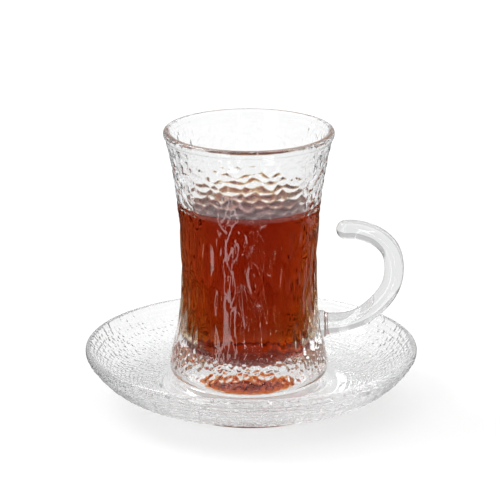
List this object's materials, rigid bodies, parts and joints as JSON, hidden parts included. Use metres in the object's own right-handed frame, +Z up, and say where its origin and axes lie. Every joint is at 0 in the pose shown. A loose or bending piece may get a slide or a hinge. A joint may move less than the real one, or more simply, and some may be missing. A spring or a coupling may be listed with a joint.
{
  "type": "turkish tea glass",
  "caption": "Clear pressed-glass tea glass with a wavy ridged body and an open hook handle, holding black tea and standing on its own shallow glass saucer.",
  "frame": {"origin": "middle of the saucer's foot, on the table", "axes": "+Z up; +X from the middle towards the handle; the picture looks along +Y and about 17 degrees down"},
  "size_m": [0.1254, 0.1254, 0.1057],
  "materials": {
    "clear_glass": "fire-polished clear glass, pressed with wavy ridges outside and smooth inside",
    "black_tea": "still, clear red-brown black tea with a glossy surface"
  },
  "bodies": {
    "root": {"tea_glass": "clear_glass", "tea": "black_tea", "saucer": "clear_glass"}
  },
  "joints": []
}
